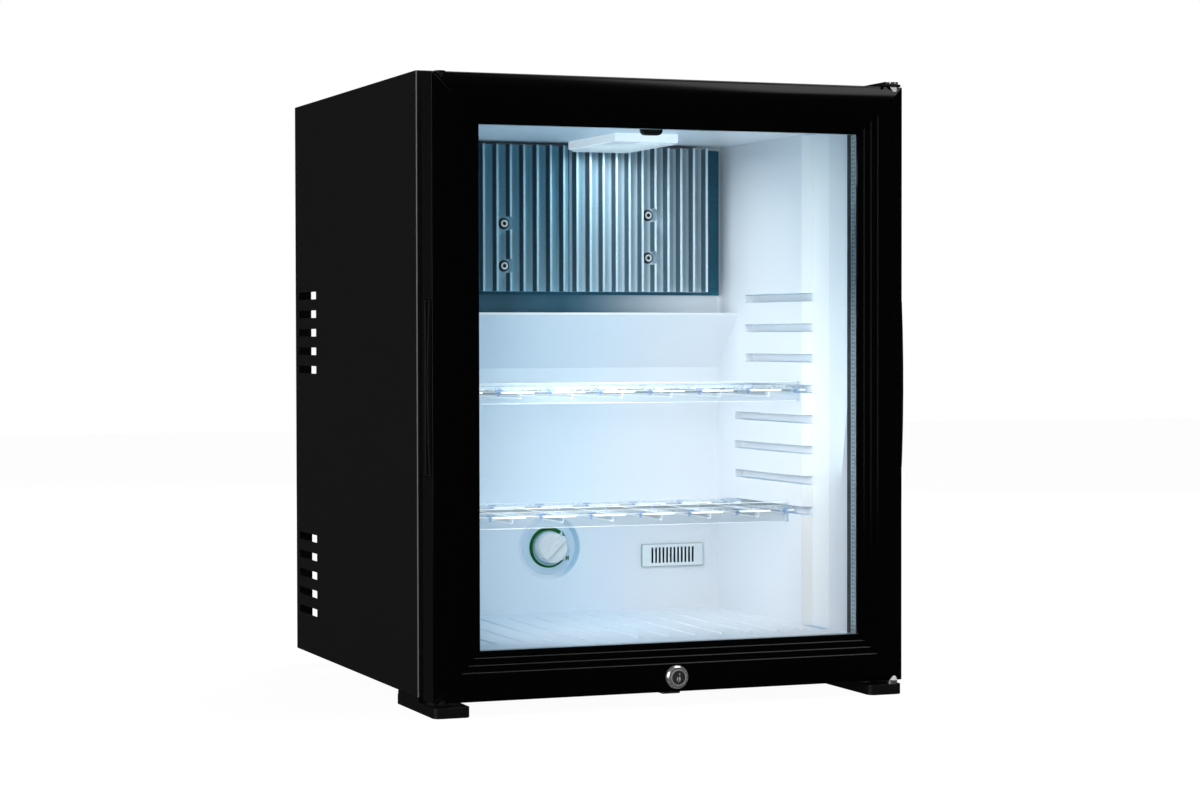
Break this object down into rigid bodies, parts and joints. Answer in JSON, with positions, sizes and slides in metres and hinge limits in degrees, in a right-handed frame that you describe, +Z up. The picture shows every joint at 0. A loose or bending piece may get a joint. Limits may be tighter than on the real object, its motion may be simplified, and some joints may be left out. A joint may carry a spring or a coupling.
{
  "type": "glass-door minibar fridge",
  "caption": "Small upright absorption fridge with a framed double-glazed door, shelves, finned cooling plate, lamp, dial thermostat and door lock.",
  "frame": {"origin": "on the floor, under the middle of the whole fridge with its door closed", "axes": "+X to the right as seen from the front, +Y to the back, +Z up"},
  "size_m": [0.408, 0.414, 0.5],
  "materials": {
    "cabinet_steel": "satin black powder coat",
    "door_profile": "glossy black",
    "black_plastic": "fine matt",
    "white_liner": "moulded, semi-gloss",
    "white_trim": "fine matt",
    "clear_plastic": "clear, polished",
    "green_print": "printed",
    "glass": "polished",
    "spacer_aluminium": "bright, perforated",
    "fin_aluminium": "extruded, anodised",
    "plate_aluminium": "mill finish",
    "gasket": "soft PVC",
    "foam": "rigid polyurethane foam",
    "zinc_steel": "zinc plated",
    "black_steel": "satin black",
    "chrome": "polished",
    "galvanised": "galvanised sheet",
    "foil": "wrapped jacket",
    "black_tube": "black paint",
    "board": "lacquered board",
    "foot_rubber": "moulded"
  },
  "bodies": {
    "cabinet": {"outer_shell": "cabinet_steel", "bottom_panel": "black_steel", "rear_crossbar": "black_steel", "rear_panel": "galvanised", "inner_liner": "white_liner", "insulation": "foam", "evaporator_fins_left": "fin_aluminium", "evaporator_fins_right": "fin_aluminium", "evaporator_screws": "zinc_steel", "evaporator_plate": "plate_aluminium", "evaporator_coil": "black_tube", "evaporator_clamps": "plate_aluminium", "lamp_housing": "white_trim", "lamp_board": "board", "lamp_lens": "clear_plastic", "door_switch": "black_plastic", "thermostat_dial": "white_trim", "dial_scale": "green_print", "thermostat_body": "black_plastic", "sensor_grille": "white_trim", "temperature_sensor": "chrome", "drain_tube": "white_trim", "drip_cup": "black_plastic", "hinge_screws": "black_steel", "top_hinge_bracket": "black_steel", "hinge_pins": "zinc_steel", "front_foot": "black_plastic", "hinge_foot": "black_plastic", "rear_feet": "foot_rubber", "strike_plate": "zinc_steel", "base_screws": "zinc_steel", "condenser_tube": "black_tube", "condenser_fins": "black_steel", "absorber_tubes": "black_tube", "absorber_vessel": "black_tube", "boiler_jacket": "foil", "unit_straps": "galvanised", "terminal_box": "black_plastic", "power_inlet": "black_plastic"},
    "door": {"door_frame_left": "door_profile", "door_frame_right": "door_profile", "door_frame_bottom": "door_profile", "door_frame_top": "door_profile", "corner_keys": "black_plastic", "front_pane": "glass", "rear_pane": "glass", "glazing_spacer": "spacer_aluminium", "door_rear_frame": "black_plastic", "door_gasket": "gasket", "handle_left": "black_plastic", "handle_right": "black_plastic", "hinge_bushes": "white_trim", "hinge_hole_plugs": "black_plastic", "lock_barrel": "chrome"},
    "lock": {"lock_plug": "chrome", "lock_cam": "zinc_steel"},
    "knob": {"thermostat_knob": "white_trim"},
    "upper_shelf": {"shelf_upper": "clear_plastic"},
    "lower_shelf": {"shelf_lower": "clear_plastic"}
  },
  "joints": [
    {"name": "door_hinge", "type": "hinge", "parent": "cabinet", "child": "door", "pos_m": [0.1935, -0.1975, 0.25], "axis": [0, 0, 1], "range_deg": [0, 115]},
    {"name": "lock_turn", "type": "hinge", "parent": "door", "child": "lock", "pos_m": [0, -0.203, 0.0234], "axis": [0, 1, 0], "range_deg": [0, 90]},
    {"name": "thermostat_turn", "type": "hinge", "parent": "cabinet", "child": "knob", "pos_m": [0, 0.085, 0.105], "axis": [0, -1, 0], "range_deg": [0, 270]},
    {"name": "upper_shelf_slide", "type": "slide", "parent": "cabinet", "child": "upper_shelf", "axis": [0, -1, 0], "range_m": [0, 0.06]},
    {"name": "lower_shelf_slide", "type": "slide", "parent": "cabinet", "child": "lower_shelf", "axis": [0, -1, 0], "range_m": [0, 0.08]}
  ]
}
